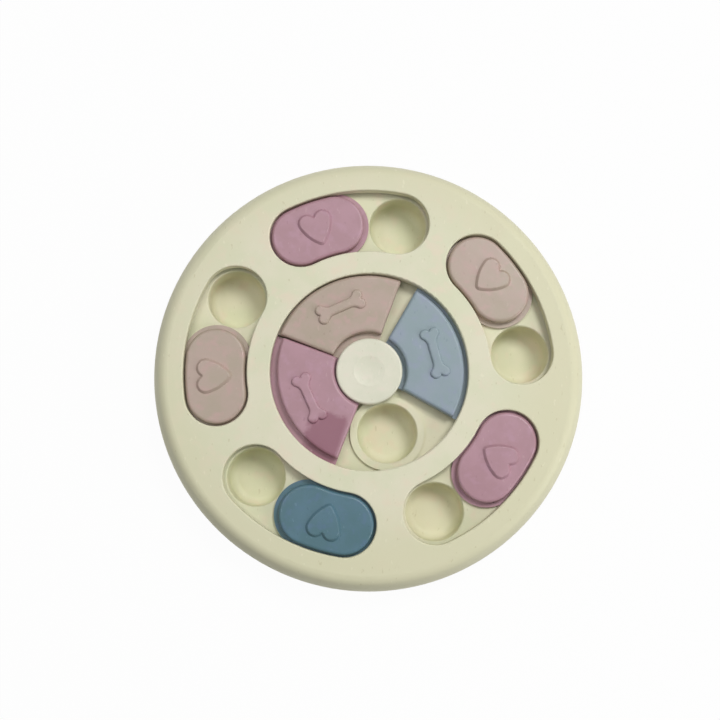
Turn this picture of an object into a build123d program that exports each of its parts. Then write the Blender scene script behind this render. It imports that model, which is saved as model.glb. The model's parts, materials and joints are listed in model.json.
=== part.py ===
"""Round slider puzzle feeder for dogs: trays of food cups under a slotted cover, with sliding lids.

Frame: +Z up, origin on the floor under the middle of the toy. Millimetres and degrees.
"""

import os
from math import atan2, cos, degrees, radians, sin, sqrt, tan

from build123d import *

# --- driving dimensions -------------------------------------------------------------------------

overall_diameter = 240.0  # at the parting line, where the casing is widest
plan_unit = overall_diameter / 240  # the layout seen from above grows with the casing
cover_top_z = 30.0  # top face of the cover above the floor
parting_z = 14.0  # where cover and shell meet on the outside
rim_bottom_z = 1.5  # underside of the shell's base ring
deck_depth = 7.6  # cover top down to the deck that the sliders run on

cover_wall = 2.4  # cover plate and skirt
tray_wall = 2.0  # deck, side wall and hub
lip_wall = 1.8  # walls that hang from the cover round each opening
shoulder_width = 9.5  # the cover's edge falls from its top to the parting line over this width
crown_radius = 6.3  # tight arc at the top of that edge; a wide one follows it down
side_draft = 0.4  # how far the shell's side leans out towards the parting line
heel_radius = 6.0  # rounding between the shell's side and its underside
edge_round = 0.8  # softened edges of the cover's openings
seam_chamfer = 0.4  # bevels that make the line between cover and shell
tongue_gap = 2.3  # shell's tongue inside the foot of the cover's skirt, which closes in above it

slot_count = 5
slot_radius = 84.5 * plan_unit  # centre line of the kidney slots and of the outer cups
slot_half_width = 17.4 * plan_unit
slot_half_span = 18.9  # angle from a slot's middle to the centre of its rounded end
first_slot_angle = 25.9

outer_cup_radius = 16.0 * plan_unit
inner_cup_radius = 16.5 * plan_unit
cup_depth = 16.0
cup_wall = 1.6
cup_draft = 2.0  # angle
cup_floor_round = 5.0
cup_floor_bevel = 3.6  # outside, under the rounding of the floor
cup_lip_bevel = 0.5

well_web = 12.6 * plan_unit  # cover between a slot and the round well in its middle
well_drop = 1.8  # floor of the well below the deck
well_reach = 2.0  # how far the lower floor reaches under the cover's lip
inner_cup_count = 4
inner_cup_circle = 35.1 * plan_unit
first_inner_cup_angle = 16.5
collar_width = 4.0  # raised ring round each inner cup

tray_margin = 3.4  # edge of a cup tray beyond its slot
seat_width = 2.0  # seats that carry the cup trays and the well tray
seat_thickness = 1.6

glide_gap = 0.2  # under the sliders and sectors
lip_gap = 0.4  # above their flanges
flange_thickness = 1.8
pad_sink = 0.5  # pad tops below the cover's top
pad_wall = 2.0
pad_round = 1.8
relief_height = 1.5  # raised hearts and bones

pad_side_gap = 1.1  # heart pad to the slot's wall
pad_half_span = 6.78  # angle from a pad's middle to the centre of its rounded end
slider_flange = 2.6
slider_rest_play = 0.12  # angle between a slider at rest and its end stop
heart_width = 19.6 * plan_unit
heart_length = 20.4 * plan_unit
heart_lobe_radius = 5.3 * plan_unit
heart_lobe_turn = 105.0  # angle where a lobe hands over to the heart's side
heart_tip_round = 2.6
heart_flank = 42.0  # angle of a heart's side from upright
heart_round = 0.8

sector_gap = 2.3  # sector pad to the wall of the well and to the cap
sector_half_angle = 44.6
sector_flange = 5.2
sector_corner = 1.2
bone_radius = 37.5 * plan_unit  # from the centre of the well to the bone's axis
bone_length = 28.0 * plan_unit
bone_shaft = 5.6
bone_lobe_radius = 3.0
bone_lobe_offset = 2.6
bone_blend = 4.5  # fillet where a lobe meets the shaft
bone_round = 1.3

cap_radius = 18.25 * plan_unit
cap_sink = 0.6  # cap top below the cover's top
cap_round = 1.2
cap_wall = 1.9
cap_dish_radius = 8.5
cap_dish_depth = 0.5
cap_pin_radius = 3.2
cap_pin_length = 12.0
hub_radius = 12.0 * plan_unit
hub_rise = 2.4  # the hub stands this far up into the cap
fit_gap = 0.2  # cap over hub, pin in socket, foot in recess

inner_screw_circle = 65.0 * plan_unit
outer_screw_circle = 96.0 * plan_unit  # inside the base ring, so a driver reaches them
case_boss_radius = 3.5
case_screw_shank = 1.2
case_screw_head = 2.8
case_head_height = 2.0
case_seat_drop = 2.2  # head seat below the underside of the deck
case_screw_grip = 4.4  # length in the cover's boss
cap_screw_shank = 1.5
cap_screw_head = 3.4
cap_head_height = 2.4
cap_screw_grip = 7.0
pilot_gap = 0.05  # shank to the wall of its pilot hole
clearance_gap = 0.5  # shank to the wall of a through hole
head_gap = 0.4  # head to the wall of its pocket
tower_wall = 1.6  # material round a screw pocket
driver_slot = 0.8  # width of the cross recess
driver_depth = 0.9
driver_rim = 0.8  # from the ends of the cross recess to the edge of the head
head_round = 0.6
tip_chamfer = 0.4

foot_radius = 4.6
foot_height = 2.7
foot_round = 0.7
base_ring_width = 12.1
base_ring_thickness = 2.4
rib_thickness = 1.4
rib_depth = 6.0

# resting place of each ring sector: middle angle, and how far its play lets it sit from the centre
sector_places = {"blue": (15.7, 0.0), "beige": (114.1, 1.45), "mauve": (204.35, -1.6)}

# --- derived levels and radii -------------------------------------------------------------------

casing_radius = overall_diameter / 2
deck_z = cover_top_z - deck_depth
deck_underside_z = deck_z - tray_wall
well_floor_z = deck_z - well_drop
well_underside_z = well_floor_z - tray_wall
well_radius = slot_radius - slot_half_width - well_web
well_recess_radius = well_radius + well_reach
well_tray_radius = well_recess_radius + tray_wall
well_seat_radius = well_tray_radius + fit_gap
tray_half_width = slot_half_width + tray_margin
tray_seat_half_width = tray_half_width + fit_gap
tray_seat_z = deck_underside_z - seat_thickness
plate_underside_z = cover_top_z - cover_wall
slider_bottom_z = deck_z + glide_gap
flange_top_z = slider_bottom_z + flange_thickness
lip_bottom_z = flange_top_z + lip_gap
pad_top_z = cover_top_z - pad_sink
pad_ceiling_z = pad_top_z - pad_wall
cap_top_z = cover_top_z - cap_sink
cap_ceiling_z = cap_top_z - cap_wall
hub_top_z = lip_bottom_z + hub_rise
cap_pin_end_z = hub_top_z - cap_pin_length
socket_floor_z = cap_pin_end_z - fit_gap
socket_bottom_z = socket_floor_z - tray_wall
side_radius = casing_radius - side_draft
shoulder_edge_radius = casing_radius - shoulder_width
shoulder_height = cover_top_z - parting_z
crown_centre_z = cover_top_z - crown_radius
flank_radius = (
    shoulder_width**2 + shoulder_height**2 - 2 * shoulder_height * crown_radius
) / (2 * (shoulder_width - crown_radius))
flank_centre_radius = casing_radius - flank_radius
flank_turn = degrees(
    atan2(crown_centre_z - parting_z, shoulder_edge_radius - flank_centre_radius)
)
skirt_inner_radius = casing_radius - cover_wall
tongue_radius = skirt_inner_radius - tongue_gap
tongue_inner_radius = tongue_radius - tray_wall
heel_centre_radius = side_radius - heel_radius
heel_centre_z = rim_bottom_z + heel_radius
base_ring_inner_radius = heel_centre_radius - base_ring_width
base_ring_top_z = rim_bottom_z + base_ring_thickness
foot_circle = heel_centre_radius - base_ring_width / 2
pad_half_width = slot_half_width - pad_side_gap
slider_rest_angle = slot_half_span - pad_half_span - slider_rest_play
sector_inner_radius = cap_radius + sector_gap
sector_outer_radius = well_radius - sector_gap
slot_pitch = 360 / slot_count
boss_angle = first_slot_angle + slot_pitch / 2
case_seat_z = deck_underside_z - case_seat_drop
tower_bottom_z = deck_underside_z - rib_depth
case_pocket_radius = case_screw_head + head_gap
case_tower_radius = case_pocket_radius + tower_wall
cap_socket_radius = cap_pin_radius + fit_gap


def ring_plane(angle, out, height):
    """A level plane whose X axis points outwards at this angle, with its origin moved out."""
    reach = radians(angle)
    place = (out * cos(reach), out * sin(reach), height)
    return Plane(origin=place, x_dir=(cos(reach), sin(reach), 0), z_dir=(0, 0, 1))


def shoulder_arcs(inset):
    """The cover's edge seen from the side, from the parting line up: a wide arc, then a tight one."""
    flank = CenterArc((flank_centre_radius, parting_z), flank_radius - inset, 0, flank_turn)
    crown = CenterArc(
        (shoulder_edge_radius, crown_centre_z), crown_radius - inset, flank_turn, 90 - flank_turn
    )
    return flank, crown


def kidney(half_width, half_span, middle=0.0):
    """A bent slot on the slot circle: half its width, and the angle to its end centres."""
    centre_line = Edge.make_circle(
        slot_radius, start_angle=middle - half_span, end_angle=middle + half_span
    )
    return SlotArc(centre_line, 2 * half_width)


def ring_sector(inner, outer, corner):
    """A piece of a flat ring about the X axis, with rounded corners."""
    with BuildSketch(mode=Mode.PRIVATE) as outline:
        with BuildLine():
            rim = CenterArc((0, 0), outer, -sector_half_angle, 2 * sector_half_angle)
            bore = CenterArc((0, 0), inner, -sector_half_angle, 2 * sector_half_angle)
            Line(rim @ 0, bore @ 0)
            Line(rim @ 1, bore @ 1)
        make_face()
        fillet(outline.vertices(), corner)
    return add(outline.sketch)


def heart():
    """A heart with its notch on +X and its tip on -X, centred on its length."""
    lobe_x = heart_length / 2 - heart_lobe_radius
    lobe_y = heart_width / 2 - heart_lobe_radius
    notch_x = lobe_x + sqrt(heart_lobe_radius**2 - lobe_y**2)
    half_turn = radians(heart_lobe_turn / 2)
    full_turn = radians(heart_lobe_turn)
    with BuildSketch(mode=Mode.PRIVATE) as outline:
        with BuildLine():
            lobe = ThreePointArc(
                (notch_x, 0),
                (
                    lobe_x + heart_lobe_radius * cos(half_turn),
                    lobe_y + heart_lobe_radius * sin(half_turn),
                ),
                (
                    lobe_x + heart_lobe_radius * cos(full_turn),
                    lobe_y + heart_lobe_radius * sin(full_turn),
                ),
            )
            TangentArc(lobe @ 1, (-heart_length / 2, 0), tangent=lobe % 1)
            mirror(about=Plane.XZ)
        make_face()
        fillet(outline.vertices().sort_by(Axis.X)[0], heart_tip_round)
    return add(outline.sketch)


def bone():
    """A bone along Y: a shaft with two lobes at each end, blended where they meet."""
    lobe_y = bone_length / 2 - bone_lobe_radius
    with BuildSketch(mode=Mode.PRIVATE) as outline:
        Rectangle(bone_shaft, 2 * lobe_y)
        with GridLocations(2 * bone_lobe_offset, 2 * lobe_y, 2, 2):
            Circle(bone_lobe_radius)
        necks = outline.vertices().filter_by(lambda corner: abs(corner.Y) < lobe_y)
        fillet(necks, bone_blend)
    return add(outline.sketch)


def cup_form(top_radius, depth, soften, size):
    """A tapered cup shape that hangs from the origin, for a cup's outside or its hollow."""
    bottom_radius = top_radius - depth * tan(radians(cup_draft))
    with BuildPart(mode=Mode.PRIVATE) as form:
        with BuildSketch(Plane.XZ):
            with BuildLine():
                Polyline((0, 0), (top_radius, 0), (bottom_radius, -depth), (0, -depth), close=True)
            make_face()
        revolve(axis=Axis.Z)
        soften(form.faces().sort_by(Axis.Z)[0].edges(), size)
    return form.part


def screw_form(shank, length, head, head_height):
    """A screw that points up from its head's seat at the origin, with a cross recess below."""
    with BuildPart(mode=Mode.PRIVATE) as form:
        with BuildSketch(Plane.XY):
            Circle(head)
        extrude(amount=-head_height)
        fillet(form.faces().sort_by(Axis.Z)[0].edges(), head_round)
        with BuildSketch(Plane.XY):
            Circle(shank)
        extrude(amount=length)
        chamfer(form.faces().sort_by(Axis.Z)[-1].edges(), tip_chamfer)
        with BuildSketch(Plane.XY.offset(-head_height)):
            Rectangle(2 * (head - driver_rim), driver_slot)
            Rectangle(driver_slot, 2 * (head - driver_rim))
        extrude(amount=driver_depth, mode=Mode.SUBTRACT)
    return form.part


def finish_piece(piece, label):
    """Name a finished piece and write it to parts/."""
    piece.part.label = label
    export_step(piece.part, f"parts/{label}.step")


os.makedirs("parts", exist_ok=True)

# --- top cover: one moulding with kidney slots, a round well, hidden lips, ribs and bosses --------

with BuildPart() as top_cover:
    with BuildSketch(Plane.XZ):
        with BuildLine():
            flank, crown = shoulder_arcs(0)
            inner_flank, inner_crown = shoulder_arcs(cover_wall)
            Line(flank @ 0, inner_flank @ 0)
            inner_edge = ((well_radius, plate_underside_z), (well_radius, cover_top_z))
            Polyline(inner_crown @ 1, *inner_edge, crown @ 1)
        make_face()
    revolve(axis=Axis.Z)

    # lips round the well and the slots, which hold the flanges down
    with BuildSketch(Plane.XY.offset(lip_bottom_z)):
        Circle(well_radius + lip_wall)
        Circle(well_radius, mode=Mode.SUBTRACT)
        with PolarLocations(0, slot_count, start_angle=first_slot_angle):
            kidney(slot_half_width + lip_wall, slot_half_span)
    extrude(amount=plate_underside_z - lip_bottom_z)

    # stiffening ribs between neighbouring slots
    rib_start = well_radius + lip_wall / 2
    rib_middle = (rib_start + shoulder_edge_radius) / 2
    with BuildSketch(Plane.XY.offset(lip_bottom_z)):
        with PolarLocations(rib_middle, slot_count, start_angle=boss_angle):
            Rectangle(shoulder_edge_radius - rib_start, rib_thickness)
    extrude(amount=plate_underside_z - lip_bottom_z)

    # screw bosses, which stand on the deck
    for circle in (inner_screw_circle, outer_screw_circle):
        with BuildSketch(Plane.XY.offset(deck_z)):
            with PolarLocations(circle, slot_count, start_angle=boss_angle):
                Circle(case_boss_radius)
        extrude(until=Until.NEXT)
        with BuildSketch(Plane.XY.offset(deck_z)):
            with PolarLocations(circle, slot_count, start_angle=boss_angle):
                Circle(case_screw_shank + pilot_gap)
        extrude(amount=case_screw_grip + pilot_gap, mode=Mode.SUBTRACT)

    # the slots themselves
    with BuildSketch(Plane.XY.offset(lip_bottom_z)):
        with PolarLocations(0, slot_count, start_angle=first_slot_angle):
            kidney(slot_half_width, slot_half_span)
    extrude(amount=cover_top_z - lip_bottom_z, mode=Mode.SUBTRACT)

    top_face = top_cover.faces().sort_by(Axis.Z)[-1]
    fillet(top_face.inner_wires().edges(), edge_round)
    skirt_edges = top_cover.faces().sort_by(Axis.Z)[0].edges()
    chamfer(skirt_edges.sort_by(SortBy.RADIUS)[-1], seam_chamfer)
finish_piece(top_cover, "top_cover")

# --- base shell: outer deck with seats for the trays, side wall, base ring, ribs and screw towers --

with BuildPart() as base_shell:
    with BuildSketch(Plane.XZ):
        with BuildLine():
            deck_top = Polyline(
                (well_seat_radius, deck_z),
                (tongue_radius, deck_z),
                (tongue_radius, parting_z),
                (casing_radius, parting_z),
            )
            heel = CenterArc((heel_centre_radius, heel_centre_z), heel_radius, 0, -90)
            inner_heel = CenterArc(
                (heel_centre_radius, heel_centre_z), heel_radius - tray_wall, 0, -90
            )
            Line(deck_top @ 1, heel @ 0)
            Polyline(
                heel @ 1,
                (base_ring_inner_radius, rim_bottom_z),
                (base_ring_inner_radius, base_ring_top_z),
                (heel_centre_radius, base_ring_top_z),
                inner_heel @ 1,
            )
            Polyline(
                inner_heel @ 0,
                (casing_radius - tray_wall, parting_z - tray_wall),
                (tongue_inner_radius, parting_z - tray_wall),
                (tongue_inner_radius, deck_underside_z),
                (well_seat_radius + tray_wall, deck_underside_z),
                (well_seat_radius + tray_wall, well_underside_z - seat_thickness),
                (well_seat_radius - seat_width, well_underside_z - seat_thickness),
                (well_seat_radius - seat_width, well_underside_z),
                (well_seat_radius, well_underside_z),
                (well_seat_radius, deck_z),
            )
        make_face()
    revolve(axis=Axis.Z)

    # a seat for each cup tray, flush with the deck
    with BuildSketch(Plane.XY.offset(tray_seat_z)):
        with PolarLocations(0, slot_count, start_angle=first_slot_angle):
            kidney(tray_seat_half_width + seat_width, slot_half_span)
    extrude(amount=seat_thickness)
    with BuildSketch(Plane.XY.offset(tray_seat_z)):
        with PolarLocations(0, slot_count, start_angle=first_slot_angle):
            kidney(tray_seat_half_width - seat_width, slot_half_span)
    extrude(amount=deck_z - tray_seat_z, mode=Mode.SUBTRACT)
    with BuildSketch(Plane.XY.offset(deck_underside_z)):
        with PolarLocations(0, slot_count, start_angle=first_slot_angle):
            kidney(tray_seat_half_width, slot_half_span)
    extrude(amount=tray_wall, mode=Mode.SUBTRACT)

    # ribs under the deck, and screw towers on them
    rib_start = well_seat_radius + tray_wall / 2
    with BuildSketch(Plane.XY.offset(tower_bottom_z)):
        with PolarLocations(
            (rib_start + tongue_inner_radius) / 2, slot_count, start_angle=boss_angle
        ):
            Rectangle(tongue_inner_radius - rib_start, rib_thickness)
        for circle in (inner_screw_circle, outer_screw_circle):
            with PolarLocations(circle, slot_count, start_angle=boss_angle):
                Circle(case_tower_radius)
    extrude(until=Until.NEXT)

    # gussets that stand on the base ring and carry the deck, one outside each slot's middle
    with BuildSketch(Plane.XY.offset(base_ring_top_z)):
        with PolarLocations(
            (base_ring_inner_radius + heel_centre_radius) / 2,
            slot_count,
            start_angle=first_slot_angle,
        ):
            Rectangle(base_ring_width, rib_thickness)
    extrude(amount=tray_seat_z - base_ring_top_z)

    # screw holes from below, and the recesses for the feet
    with Locations(Plane((0, 0, tower_bottom_z), x_dir=(1, 0, 0), z_dir=(0, 0, -1))):
        for circle in (inner_screw_circle, outer_screw_circle):
            with PolarLocations(circle, slot_count, start_angle=-boss_angle):
                CounterBoreHole(
                    case_screw_shank + clearance_gap,
                    case_pocket_radius,
                    case_seat_z - tower_bottom_z,
                    deck_z - tower_bottom_z,
                )
    with BuildSketch(Plane.XY.offset(rim_bottom_z)):
        with PolarLocations(foot_circle, slot_count, start_angle=first_slot_angle):
            Circle(foot_radius + fit_gap)
    extrude(amount=foot_height - rim_bottom_z, mode=Mode.SUBTRACT)

    rim_edges = base_shell.edges().filter_by(GeomType.CIRCLE)
    chamfer(rim_edges.sort_by(SortBy.RADIUS)[-1], seam_chamfer)
finish_piece(base_shell, "base_shell")

# --- cup trays: a kidney plate with two cups, one tray under each slot ---------------------------

outer_cup = cup_form(outer_cup_radius + cup_wall, cup_depth + cup_wall, chamfer, cup_floor_bevel)
outer_cup_hollow = cup_form(outer_cup_radius, cup_depth, fillet, cup_floor_round)

for number in range(slot_count):
    tray_angle = first_slot_angle + number * slot_pitch
    cup_angles = (tray_angle - slot_half_span, tray_angle + slot_half_span)
    with BuildPart() as cup_tray:
        with BuildSketch(Plane.XY.offset(deck_underside_z)):
            kidney(tray_half_width, slot_half_span, tray_angle)
        extrude(amount=tray_wall)
        with Locations(*[ring_plane(angle, slot_radius, deck_z) for angle in cup_angles]):
            add(outer_cup)
            add(outer_cup_hollow, mode=Mode.SUBTRACT)
        chamfer(cup_tray.edges(Select.LAST).group_by(Axis.Z)[-1], cup_lip_bevel)
    finish_piece(cup_tray, f"cup_tray_{number + 1}")

# --- well tray: a round dish with four collared cups and the hub that carries the cap ------------

inner_cup = cup_form(inner_cup_radius + cup_wall, cup_depth + cup_wall, chamfer, cup_floor_bevel)
inner_cup_hollow = cup_form(inner_cup_radius, cup_depth, fillet, cup_floor_round)

with BuildPart() as well_tray:
    with BuildSketch(Plane.XZ):
        with BuildLine():
            Polyline(
                (0, hub_top_z),
                (hub_radius, hub_top_z),
                (hub_radius, well_floor_z),
                (well_recess_radius, well_floor_z),
                (well_recess_radius, deck_z),
                (well_tray_radius, deck_z),
                (well_tray_radius, well_underside_z),
                (hub_radius - tray_wall, well_underside_z),
                (hub_radius - tray_wall, hub_top_z - tray_wall),
                (0, hub_top_z - tray_wall),
                close=True,
            )
        make_face()
    revolve(axis=Axis.Z)

    with BuildSketch(Plane.XY.offset(well_floor_z)):
        with PolarLocations(inner_cup_circle, inner_cup_count, start_angle=first_inner_cup_angle):
            Circle(inner_cup_radius + collar_width)
    extrude(amount=well_drop)
    with BuildSketch(Plane.XY.offset(socket_bottom_z)):
        Circle(cap_socket_radius + tray_wall)
    extrude(until=Until.NEXT)
    with Locations(Plane.XY.offset(hub_top_z)):
        CounterBoreHole(
            cap_screw_shank + clearance_gap,
            cap_socket_radius,
            hub_top_z - socket_floor_z,
            hub_top_z - socket_bottom_z,
        )
    with Locations(Plane.XY.offset(deck_z)):
        with PolarLocations(inner_cup_circle, inner_cup_count, start_angle=first_inner_cup_angle):
            add(inner_cup)
            add(inner_cup_hollow, mode=Mode.SUBTRACT)
        chamfer(well_tray.edges(Select.LAST).group_by(Axis.Z)[-1], cup_lip_bevel)
finish_piece(well_tray, "well_tray")

# --- feet: soft discs glued into the base ring ---------------------------------------------------

for number in range(slot_count):
    foot_angle = first_slot_angle + number * slot_pitch
    with BuildPart() as foot_pad:
        with BuildSketch(ring_plane(foot_angle, foot_circle, 0)):
            Circle(foot_radius)
        extrude(amount=foot_height)
        fillet(foot_pad.faces().sort_by(Axis.Z)[0].edges(), foot_round)
    finish_piece(foot_pad, f"foot_pad_{number + 1}")

# --- screws --------------------------------------------------------------------------------------

case_screw = screw_form(
    case_screw_shank,
    case_seat_drop + tray_wall + case_screw_grip,
    case_screw_head,
    case_head_height,
)
with BuildPart() as case_screws:
    with Locations(Plane.XY.offset(case_seat_z)):
        for circle in (inner_screw_circle, outer_screw_circle):
            with PolarLocations(circle, slot_count, start_angle=boss_angle):
                add(case_screw)
finish_piece(case_screws, "case_screws")

with BuildPart() as cap_screw:
    with Locations(Plane.XY.offset(socket_bottom_z)):
        add(
            screw_form(
                cap_screw_shank,
                tray_wall + fit_gap + cap_screw_grip,
                cap_screw_head,
                cap_head_height,
            )
        )
finish_piece(cap_screw, "cap_screw")

# --- centre cap: dished disc with a skirt, a seat on the hub and a pin down its socket ------------

hub_seat_radius = hub_radius + fit_gap
with BuildPart() as centre_cap:
    with BuildSketch(Plane.XZ):
        with BuildLine():
            dish = TangentArc(
                (0, cap_top_z - cap_dish_depth), (cap_dish_radius, cap_top_z), tangent=(1, 0)
            )
            rim = CenterArc((cap_radius - cap_round, cap_top_z - cap_round), cap_round, 0, 90)
            Line(dish @ 1, rim @ 1)
            Polyline(
                rim @ 0,
                (cap_radius, lip_bottom_z),
                (cap_radius - cap_wall, lip_bottom_z),
                (cap_radius - cap_wall, cap_ceiling_z),
                (hub_seat_radius + cap_wall, cap_ceiling_z),
                (hub_seat_radius + cap_wall, lip_bottom_z),
                (hub_seat_radius, lip_bottom_z),
                (hub_seat_radius, hub_top_z),
                (cap_pin_radius, hub_top_z),
                (cap_pin_radius, cap_pin_end_z),
                (0, cap_pin_end_z),
                (0, cap_top_z - cap_dish_depth),
            )
        make_face()
    revolve(axis=Axis.Z)
    with Locations(Plane(origin=(0, 0, cap_pin_end_z), z_dir=(0, 0, -1))):
        Hole(cap_screw_shank + pilot_gap, cap_screw_grip + fit_gap)
finish_piece(centre_cap, "centre_cap")

# --- heart sliders: kidney pads, hollow below, with a flange that runs under the cover's lips -----

for number in range(slot_count):
    slider_angle = first_slot_angle + slider_rest_angle + number * slot_pitch
    with BuildPart() as heart_slider:
        with BuildSketch(Plane.XY.offset(slider_bottom_z)):
            kidney(pad_half_width, pad_half_span, slider_angle)
        extrude(amount=pad_top_z - slider_bottom_z)
        fillet(heart_slider.faces().sort_by(Axis.Z)[-1].edges(), pad_round)
        with BuildSketch(Plane.XY.offset(slider_bottom_z)):
            kidney(pad_half_width + slider_flange, pad_half_span, slider_angle)
        extrude(amount=flange_thickness)
        with BuildSketch(Plane.XY.offset(slider_bottom_z)):
            kidney(pad_half_width - pad_wall, pad_half_span, slider_angle)
        extrude(amount=pad_ceiling_z - slider_bottom_z, mode=Mode.SUBTRACT)
        with BuildSketch(ring_plane(slider_angle, slot_radius, pad_top_z)):
            heart()
        extrude(amount=relief_height, taper=heart_flank)
        fillet(heart_slider.faces().sort_by(Axis.Z)[-1].edges(), heart_round)
    finish_piece(heart_slider, f"heart_slider_{number + 1}")

# --- ring sectors: each carries a bone, and is held by the cover's lip and by the cap -------------

for colour, (sector_angle, play) in sector_places.items():
    with BuildPart() as bone_sector:
        with BuildSketch(ring_plane(sector_angle, play, slider_bottom_z)):
            ring_sector(sector_inner_radius, sector_outer_radius, sector_corner)
        extrude(amount=pad_top_z - slider_bottom_z)
        fillet(bone_sector.faces().sort_by(Axis.Z)[-1].edges(), pad_round)
        with BuildSketch(ring_plane(sector_angle, play, slider_bottom_z)):
            ring_sector(
                sector_inner_radius - sector_flange,
                sector_outer_radius + sector_flange,
                sector_corner,
            )
        extrude(amount=flange_thickness)
        with BuildSketch(ring_plane(sector_angle, play, slider_bottom_z)):
            ring_sector(sector_inner_radius, sector_outer_radius, sector_corner)
            offset(amount=-pad_wall)
        extrude(amount=pad_ceiling_z - slider_bottom_z, mode=Mode.SUBTRACT)
        with BuildSketch(ring_plane(sector_angle, play + bone_radius, pad_top_z)):
            bone()
        extrude(amount=relief_height)
        fillet(bone_sector.faces().sort_by(Axis.Z)[-1].edges(), bone_round)
    finish_piece(bone_sector, f"bone_sector_{colour}")
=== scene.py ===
import json
import math

import bpy
from mathutils import Matrix, Vector


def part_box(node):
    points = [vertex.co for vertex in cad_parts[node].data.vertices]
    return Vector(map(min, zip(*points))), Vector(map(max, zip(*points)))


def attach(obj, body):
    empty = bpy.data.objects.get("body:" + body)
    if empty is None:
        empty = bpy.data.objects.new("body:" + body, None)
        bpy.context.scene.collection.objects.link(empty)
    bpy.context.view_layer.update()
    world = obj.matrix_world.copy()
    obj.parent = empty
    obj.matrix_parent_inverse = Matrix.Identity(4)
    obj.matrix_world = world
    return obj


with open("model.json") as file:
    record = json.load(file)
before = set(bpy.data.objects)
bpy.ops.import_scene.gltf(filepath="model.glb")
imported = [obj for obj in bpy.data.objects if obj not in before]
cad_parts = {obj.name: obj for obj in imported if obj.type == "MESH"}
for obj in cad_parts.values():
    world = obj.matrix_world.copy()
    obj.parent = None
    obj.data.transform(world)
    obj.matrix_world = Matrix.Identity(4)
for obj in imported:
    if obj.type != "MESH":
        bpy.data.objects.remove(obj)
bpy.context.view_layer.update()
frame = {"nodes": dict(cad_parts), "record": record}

nodes = frame["nodes"]
print("frame loaded:", len(nodes), "nodes")


# a wrapped socket: sums and products on it add Math nodes
class Wire:
    def __init__(self, tree, socket):
        self.tree = tree
        self.socket = socket

    def maths(self, operation, first, second):
        return self.tree.node("ShaderNodeMath", {"operation": operation}, {0: first, 1: second})

    def __add__(self, other):
        return self.maths("ADD", self, other)

    __radd__ = __add__

    def __sub__(self, other):
        return self.maths("SUBTRACT", self, other)

    def __rsub__(self, other):
        return self.maths("SUBTRACT", other, self)

    def __mul__(self, other):
        return self.maths("MULTIPLY", self, other)

    __rmul__ = __mul__

    def orMore(self, other):
        return self.maths("MAXIMUM", self, other)

    def between(self, low, high):  # 0 below low, 1 above high, smooth in between
        settings = {"interpolation_type": "SMOOTHSTEP"}
        return self.tree.node("ShaderNodeMapRange", settings, {0: self, 1: low, 2: high})


# the nodes of a material or of the world
class Tree:
    def __init__(self, owner):
        owner.use_nodes = True
        self.owner = owner
        self.nodes = owner.node_tree.nodes
        self.links = owner.node_tree.links

    def node(self, kind, settings, values, output=0):
        made = self.nodes.new(kind)
        for key, value in settings.items():
            setattr(made, key, value)
        for key, value in values.items():
            self.join(value, made.inputs[key])
        return Wire(self, made.outputs[output])

    def join(self, value, socket):
        if isinstance(value, Wire):
            self.links.new(value.socket, socket)
        else:
            socket.default_value = value

    def seenRays(self):  # 1 where the camera looks straight at it, or in a mirror or through glass
        straight, mirrored, through = (
            self.node("ShaderNodeLightPath", {}, {}, output=f"Is {kind} Ray")
            for kind in ("Camera", "Glossy", "Transmission")
        )
        return straight.orMore(mirrored).orMore(through)


# one material: its shader and the helpers that its pattern uses
class Finish(Tree):
    def __init__(self, name, constants):
        super().__init__(bpy.data.materials.new(name))
        self.shader = self.nodes["Principled BSDF"]
        for socketName, value in constants.items():
            self.shader.inputs[socketName].default_value = value
        self.place = self.node("ShaderNodeTexCoord", {}, {}, output="Object")

    def noise(self, scale, detail=3.0, place=None):
        values = {"Vector": place or self.place, "Scale": scale, "Detail": detail, "Roughness": 0.55}
        return self.node("ShaderNodeTexNoise", {}, values)

    def stretched(self, turn, stretch):  # the object's place, turned and squeezed, for grain
        values = {"Vector": self.place, "Rotation": turn, "Scale": stretch}
        return self.node("ShaderNodeMapping", {}, values)

    def measure(self, operation, other):  # a distance or a dot product, as one number
        settings = {"operation": operation}
        return self.node("ShaderNodeVectorMath", settings, {0: self.place, 1: other}, output="Value")

    def mix(self, share, first, second):
        values = {0: share, 6: first, 7: second}
        return self.node("ShaderNodeMix", {"data_type": "RGBA"}, values, output=2)

    def bump(self, height, distance, strength, normal=None):
        values = {"Height": height, "Distance": distance, "Strength": strength}
        if normal:
            values["Normal"] = normal
        return self.node("ShaderNodeBump", {}, values)

    def feed(self, tone, rough, normal):
        links = {"Base Color": tone, "Roughness": rough, "Normal": normal}
        for socketName, value in links.items():
            self.join(value, self.shader.inputs[socketName])
        return self.owner


def colour(red, green, blue):  # a colour as it shows on a screen, 0 to 255
    def linear(level):
        share = level / 255
        return share / 12.92 if share <= 0.04045 else ((share + 0.055) / 1.055) ** 2.4
    return (linear(red), linear(green), linear(blue), 1.0)


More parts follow.
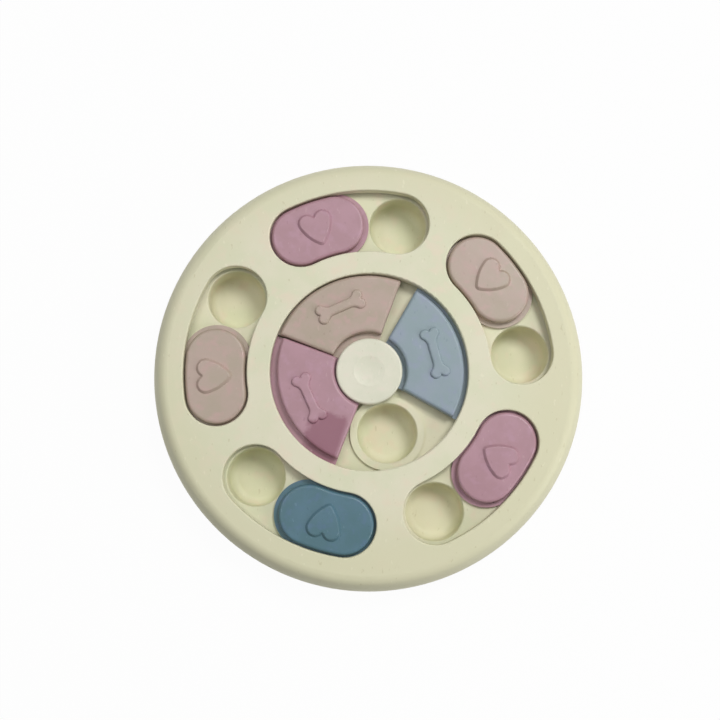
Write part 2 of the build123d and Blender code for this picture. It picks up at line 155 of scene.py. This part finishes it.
# straw-filled moulded plastic: cloudy colour, a few pale and dark flecks, a fine satin grain
def strawPlastic(name, look):
    straw = {
        "cloudDetail": 4.0, "patchPerCloud": 2.7, "roughPerCloud": 0.06, "roughPerGrain": 0.12,
        "pale": {"turn": (0.3, 0.2, 1.1), "stretch": (1.0, 0.5, 1.0), "scale": 470, "from": 0.69, "to": 0.75},
        "dark": {"turn": (0.1, 0.5, -0.6), "stretch": (1.0, 0.45, 1.0), "scale": 560, "from": 0.69, "to": 0.76},
        "ripple": {"scale": 90, "height": 0.0004, "strength": 0.35},
        "grain": {"scale": 2600, "height": 0.00004, "strength": 0.6},
    }
    finish = Finish(name, {"IOR": 1.46, "Specular IOR Level": look["gloss"]})
    cloud = finish.noise(look["cloudScale"], detail=straw["cloudDetail"]).between(0.36, 0.64)
    patch = finish.noise(look["cloudScale"] * straw["patchPerCloud"], detail=2.0).between(0.5, 0.72)
    tone = finish.mix(cloud, look["shade"], look["base"])
    tone = finish.mix(patch * look["patchShare"], tone, look["warm"])
    # painted shade on the cover's rim, where the look has one
    if "rim" in look:
        tone = paintedRimShade(finish, tone, look["rim"])
    if "stain" in look:
        tone = darkenedPatch(finish, tone, look["stain"])
    for kind in ("pale", "dark"):
        fleck = straw[kind]
        along = finish.stretched(fleck["turn"], fleck["stretch"])
        flecks = finish.noise(fleck["scale"], detail=1.5, place=along).between(fleck["from"], fleck["to"])
        tone = finish.mix(flecks * look["fleckShare"], tone, look[kind + "Fleck"])
    grain = finish.noise(straw["grain"]["scale"], detail=2.0)
    ripple = finish.noise(straw["ripple"]["scale"], detail=2.0)
    rough = look["rough"] + (cloud - 0.5) * straw["roughPerCloud"] + (grain - 0.5) * straw["roughPerGrain"]
    normal = finish.bump(ripple, straw["ripple"]["height"], straw["ripple"]["strength"])
    normal = finish.bump(grain, straw["grain"]["height"], straw["grain"]["strength"], normal=normal)
    return finish.feed(tone, rough, normal)


# painted shade: greyer towards the outer edge, around a centre set off the middle
def paintedRimShade(finish, tone, rim):
    outer = finish.measure("DISTANCE", rim["centre"]).between(rim["from"], rim["to"])
    return finish.mix(outer * rim["share"], tone, rim["tone"])


# a darker patch with a ragged border, which stops short of the sector's end
def darkenedPatch(finish, tone, stain):
    wander = (finish.noise(stain["ragged"]) - 0.5) * stain["wander"]
    reach = finish.measure("DISTANCE", stain["place"]) + wander
    patchMask = reach.between(stain["radius"], stain["radius"] - stain["edge"])
    clear = finish.measure("DOT_PRODUCT", stain["inward"]).between(stain["clearFrom"], stain["clearTo"])
    return finish.mix(patchMask * clear * stain["share"], tone, stain["tone"])


plasticLooks = {
    "cream": {
        "base": colour(223, 219, 190), "shade": colour(215, 216, 182), "warm": colour(226, 213, 186),
        "paleFleck": colour(238, 234, 208), "darkFleck": colour(186, 178, 138),
        "cloudScale": 34.0, "patchShare": 0.7, "fleckShare": 0.35, "rough": 0.5, "gloss": 0.38,
    },
    "paleCream": {
        "base": colour(226, 223, 204), "shade": colour(218, 218, 197), "warm": colour(228, 219, 203),
        "paleFleck": colour(234, 229, 212), "darkFleck": colour(195, 188, 159),
        "cloudScale": 60.0, "patchShare": 0.5, "fleckShare": 0.4, "rough": 0.36, "gloss": 0.5,
    },
    "beige": {
        "base": colour(179, 159, 147), "shade": colour(171, 156, 139), "warm": colour(185, 157, 149),
        "paleFleck": colour(194, 178, 163), "darkFleck": colour(150, 129, 117),
        "cloudScale": 60.0, "patchShare": 0.8, "fleckShare": 0.35, "rough": 0.36, "gloss": 0.5,
    },
    "mauve": {
        "base": colour(176, 137, 148), "shade": colour(169, 131, 140), "warm": colour(179, 140, 155),
        "paleFleck": colour(193, 162, 168), "darkFleck": colour(143, 103, 116),
        "cloudScale": 60.0, "patchShare": 0.7, "fleckShare": 0.35, "rough": 0.36, "gloss": 0.5,
    },
    "slateBlue": {
        "base": colour(80, 114, 129), "shade": colour(75, 110, 120), "warm": colour(83, 112, 137),
        "paleFleck": colour(109, 142, 154), "darkFleck": colour(56, 85, 99),
        "cloudScale": 60.0, "patchShare": 0.7, "fleckShare": 0.35, "rough": 0.34, "gloss": 0.5,
    },
    "lightBlue": {
        "base": colour(143, 156, 167), "shade": colour(138, 155, 161), "warm": colour(142, 152, 171),
        "paleFleck": colour(167, 178, 186), "darkFleck": colour(111, 127, 138),
        "cloudScale": 60.0, "patchShare": 0.7, "fleckShare": 0.35, "rough": 0.4, "gloss": 0.45,
    },
}
plasticLooks["coverCream"] = dict(plasticLooks["cream"])
plasticLooks["coverCream"].update(
    {"base": colour(225, 221, 196), "shade": colour(217, 218, 188), "warm": colour(229, 216, 193)}
)
# painted shade: the cover greys towards its outer edge, around a centre set off the middle
plasticLooks["coverCream"]["rim"] = {
    "centre": (-0.009, 0.009, 0.03), "from": 0.072, "to": 0.114, "share": 0.9, "tone": colour(216, 213, 181),
}
# one mauve sector gets a darker patch with a ragged border near its end
plasticLooks["stainedMauve"] = dict(plasticLooks["mauve"])
plasticLooks["stainedMauve"]["stain"] = {
    "place": (-0.021, -0.0385, 0.03), "radius": 0.0165, "edge": 0.004,
    "inward": (-0.95, 0.312, 0.0), "clearFrom": 0.001, "clearTo": 0.0045,
    "ragged": 160.0, "wander": 0.009, "share": 0.95, "tone": colour(142, 95, 109),
}
plastics = {name: strawPlastic(name + "Plastic", look) for name, look in plasticLooks.items()}


# soft foot rubber: even grey, dusty, with a fine tooth
def footRubber():
    look = {
        "base": colour(196, 197, 188), "dust": colour(212, 212, 204), "dustScale": 260, "dustShare": 0.7,
        "rough": 0.72, "roughPerDust": 0.12, "toothScale": 3200, "toothHeight": 0.00005,
    }
    finish = Finish("footRubber", {"IOR": 1.5, "Specular IOR Level": 0.35})
    dust = finish.noise(look["dustScale"], detail=4.0).between(0.45, 0.7)
    tooth = finish.noise(look["toothScale"], detail=2.0)
    tone = finish.mix(dust * look["dustShare"], look["base"], look["dust"])
    rough = look["rough"] + (dust - 0.5) * look["roughPerDust"]
    return finish.feed(tone, rough, finish.bump(tooth, look["toothHeight"], 0.7))


# zinc-plated steel: a faint blue-yellow tint and fine lines
def screwSteel():
    look = {
        "base": colour(182, 184, 186), "tint": colour(196, 190, 172), "tintScale": 420, "tintShare": 0.6,
        "rough": 0.3, "roughPerLine": 0.2, "lineScale": 1500, "lineHeight": 0.00002,
    }
    finish = Finish("screwSteel", {"Metallic": 1.0})
    tint = finish.noise(look["tintScale"], detail=3.0).between(0.4, 0.65)
    along = finish.stretched((0, 0, 0), (1.0, 1.0, 4.0))
    lines = finish.noise(look["lineScale"], detail=2.0, place=along)
    tone = finish.mix(tint * look["tintShare"], look["base"], look["tint"])
    rough = look["rough"] + (lines - 0.5) * look["roughPerLine"]
    return finish.feed(tone, rough, finish.bump(lines, look["lineHeight"], 0.5))


rubber = footRubber()
steel = screwSteel()
print("materials made:", len(bpy.data.materials))

finishes = {
    "top_cover": plastics["coverCream"],
    "base_shell": plastics["cream"],
    "well_tray": plastics["cream"],
    "centre_cap": plastics["paleCream"],
    "heart_slider_1": plastics["beige"],
    "heart_slider_2": plastics["mauve"],
    "heart_slider_3": plastics["beige"],
    "heart_slider_4": plastics["slateBlue"],
    "heart_slider_5": plastics["mauve"],
    "bone_sector_blue": plastics["lightBlue"],
    "bone_sector_beige": plastics["beige"],
    "bone_sector_mauve": plastics["stainedMauve"],
    "cap_screw": steel,
    "case_screws": steel,
}
for number in range(1, 6):
    finishes[f"cup_tray_{number}"] = plastics["cream"]
    finishes[f"foot_pad_{number}"] = rubber
for nodeName, material in finishes.items():
    slots = nodes[nodeName].data.materials
    slots.clear()
    slots.append(material)
print("CAD nodes dressed:", len(finishes))


# the gate scar that moulding leaves under each cup: a low button with a snapped-off nib in its dish
def makeGateScar():
    scar = {
        "radius": 0.0024, "rise": 0.0003, "dish": 0.0006, "nib": 0.0007, "nibRise": 0.00035,
        "soft": 0.00008, "smoothUnder": math.radians(40),
    }
    bpy.ops.object.select_all(action="DESELECT")
    bpy.ops.mesh.primitive_circle_add(vertices=32, radius=scar["radius"], fill_type="NGON", location=(0, 0, 0))
    piece = bpy.context.object
    bpy.ops.object.mode_set(mode="EDIT")
    bpy.ops.mesh.extrude_region_move(TRANSFORM_OT_translate={"value": (0, 0, -scar["rise"])})
    bpy.ops.mesh.inset(thickness=scar["dish"])
    bpy.ops.mesh.inset(thickness=scar["dish"] / 2, depth=-scar["rise"] / 2)
    bpy.ops.mesh.inset(thickness=scar["radius"] - 1.5 * scar["dish"] - scar["nib"])
    bpy.ops.mesh.extrude_region_move(TRANSFORM_OT_translate={"value": (0, 0, -scar["nibRise"])})
    bpy.ops.mesh.select_all(action="SELECT")
    bpy.ops.mesh.normals_make_consistent(inside=False)
    bpy.ops.object.mode_set(mode="OBJECT")
    soften = piece.modifiers.new("soften", "BEVEL")
    soften.width = scar["soft"]
    soften.segments = 2
    bpy.ops.object.modifier_apply(modifier=soften.name)
    bpy.ops.object.shade_smooth_by_angle(angle=scar["smoothUnder"])
    piece.data.materials.append(plastics["cream"])
    return piece


# one scar under each cup, on the tray that carries it
def placeGateScars():
    first = makeGateScar()
    cupTrays = {"outer": "cup_tray_", "lidded": "cup_tray_", "inner": "well_tray"}
    for opening in frame["record"]["physics"]["openings"]:
        kind, _, number = opening["name"].split("_")
        carrier = cupTrays[kind] + (number if kind != "inner" else "")
        (left, near, _), (right, far, _) = opening["box_m"]
        piece = first.copy()
        piece.data = first.data.copy()
        piece.name = f"gateScar_{kind}_{number}"
        piece.location = ((left + right) / 2, (near + far) / 2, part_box(carrier)[0][2])
        bpy.context.scene.collection.objects.link(piece)
        bpy.ops.object.select_all(action="DESELECT")
        piece.select_set(True)
        bpy.context.view_layer.objects.active = piece
        bpy.ops.object.transform_apply(location=True, rotation=True, scale=True)
        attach(piece, "housing")
    bpy.data.objects.remove(first)


# pale floor and backdrop in one sheet
def layFloor():
    look = {"size": 3.0, "tone": colour(222, 222, 220), "cloud": colour(216, 216, 214), "glow": 0.965}
    bpy.ops.object.select_all(action="DESELECT")
    bpy.ops.mesh.primitive_plane_add(size=look["size"], location=(0, 0, 0))
    floor = bpy.context.object
    floor.name = "floorSheet"
    finish = Finish("floorPaper", {"Roughness": 0.9, "Specular IOR Level": 0.1})
    cloud = finish.noise(3.0, detail=2.0)
    finish.join(finish.mix(cloud * 0.3, look["tone"], look["cloud"]), finish.shader.inputs["Base Color"])
    white = finish.node("ShaderNodeEmission", {}, {"Color": (1, 1, 1, 1), "Strength": 1.0})
    lit = Wire(finish, finish.shader.outputs["BSDF"])
    seen = finish.seenRays() * look["glow"]
    sheet = finish.node("ShaderNodeMixShader", {}, {0: seen, 1: lit, 2: white})
    finish.join(sheet, finish.nodes["Material Output"].inputs["Surface"])
    floor.data.materials.append(finish.owner)


# lamps: the key gives the slant, the other two lift the shaded shoulder
def hangLamps():
    lights = {
        "key": {"place": (0.7, 0.74, 1.75), "size": 0.8, "power": 20.7},
        "fill": {"place": (-0.45, 0.25, 1.2), "size": 0.7, "power": 3.2},
        "side": {"place": (0.85, -0.34, 0.46), "size": 0.5, "power": 3.2},
    }
    for lightName, light in lights.items():
        data = bpy.data.lights.new(lightName + "Lamp", "AREA")
        data.shape = "DISK"
        data.size = light["size"]
        data.energy = light["power"]
        lamp = bpy.data.objects.new(lightName + "Lamp", data)
        bpy.context.scene.collection.objects.link(lamp)
        lamp.location = light["place"]
        lamp.rotation_euler = (-Vector(light["place"])).to_track_quat("-Z", "Y").to_euler()


# the world lights softly and shows white behind
def makeWorld():
    look = {"white": (1, 1, 1, 1), "soft": 0.18, "shown": 1.0}
    world = bpy.data.worlds.new("studioWorld")
    bpy.context.scene.world = world
    sky = Tree(world)
    sky.nodes.remove(sky.nodes["Background"])
    soft = sky.node("ShaderNodeBackground", {}, {"Color": look["white"], "Strength": look["soft"]})
    shown = sky.node("ShaderNodeBackground", {}, {"Color": look["white"], "Strength": look["shown"]})
    blend = sky.node("ShaderNodeMixShader", {}, {0: sky.seenRays(), 1: soft, 2: shown})
    sky.join(blend, sky.nodes["World Output"].inputs["Surface"])


# camera: nearly straight above, leaning a little towards the near side
def placeCamera():
    view = {
        "height": 0.03, "distance": 0.55, "lean": math.radians(6.91), "bearing": math.radians(-97.7),
        "lens": 50.25, "shift": (-0.0129, 0.0151),
    }
    flat = math.sin(view["lean"])
    back = Vector(
        (
            flat * math.cos(view["bearing"]),
            flat * math.sin(view["bearing"]),
            math.cos(view["lean"]),
        )
    )
    right = Vector((0, 1, 0)).cross(back).normalized()
    up = back.cross(right)
    turned = Matrix((right, up, back)).transposed().to_4x4()
    spot = Vector((0, 0, view["height"])) + back * view["distance"]
    data = bpy.data.cameras.new("topCamera")
    data.lens = view["lens"]
    data.sensor_width = 36
    data.shift_x, data.shift_y = view["shift"]
    camera = bpy.data.objects.new("topCamera", data)
    bpy.context.scene.collection.objects.link(camera)
    camera.matrix_world = Matrix.Translation(spot) @ turned
    bpy.context.scene.camera = camera


placeGateScars()
print("gate scars made")
layFloor()
hangLamps()
makeWorld()
placeCamera()
bpy.context.scene.view_settings.view_transform = "Standard"
print("studio ready")
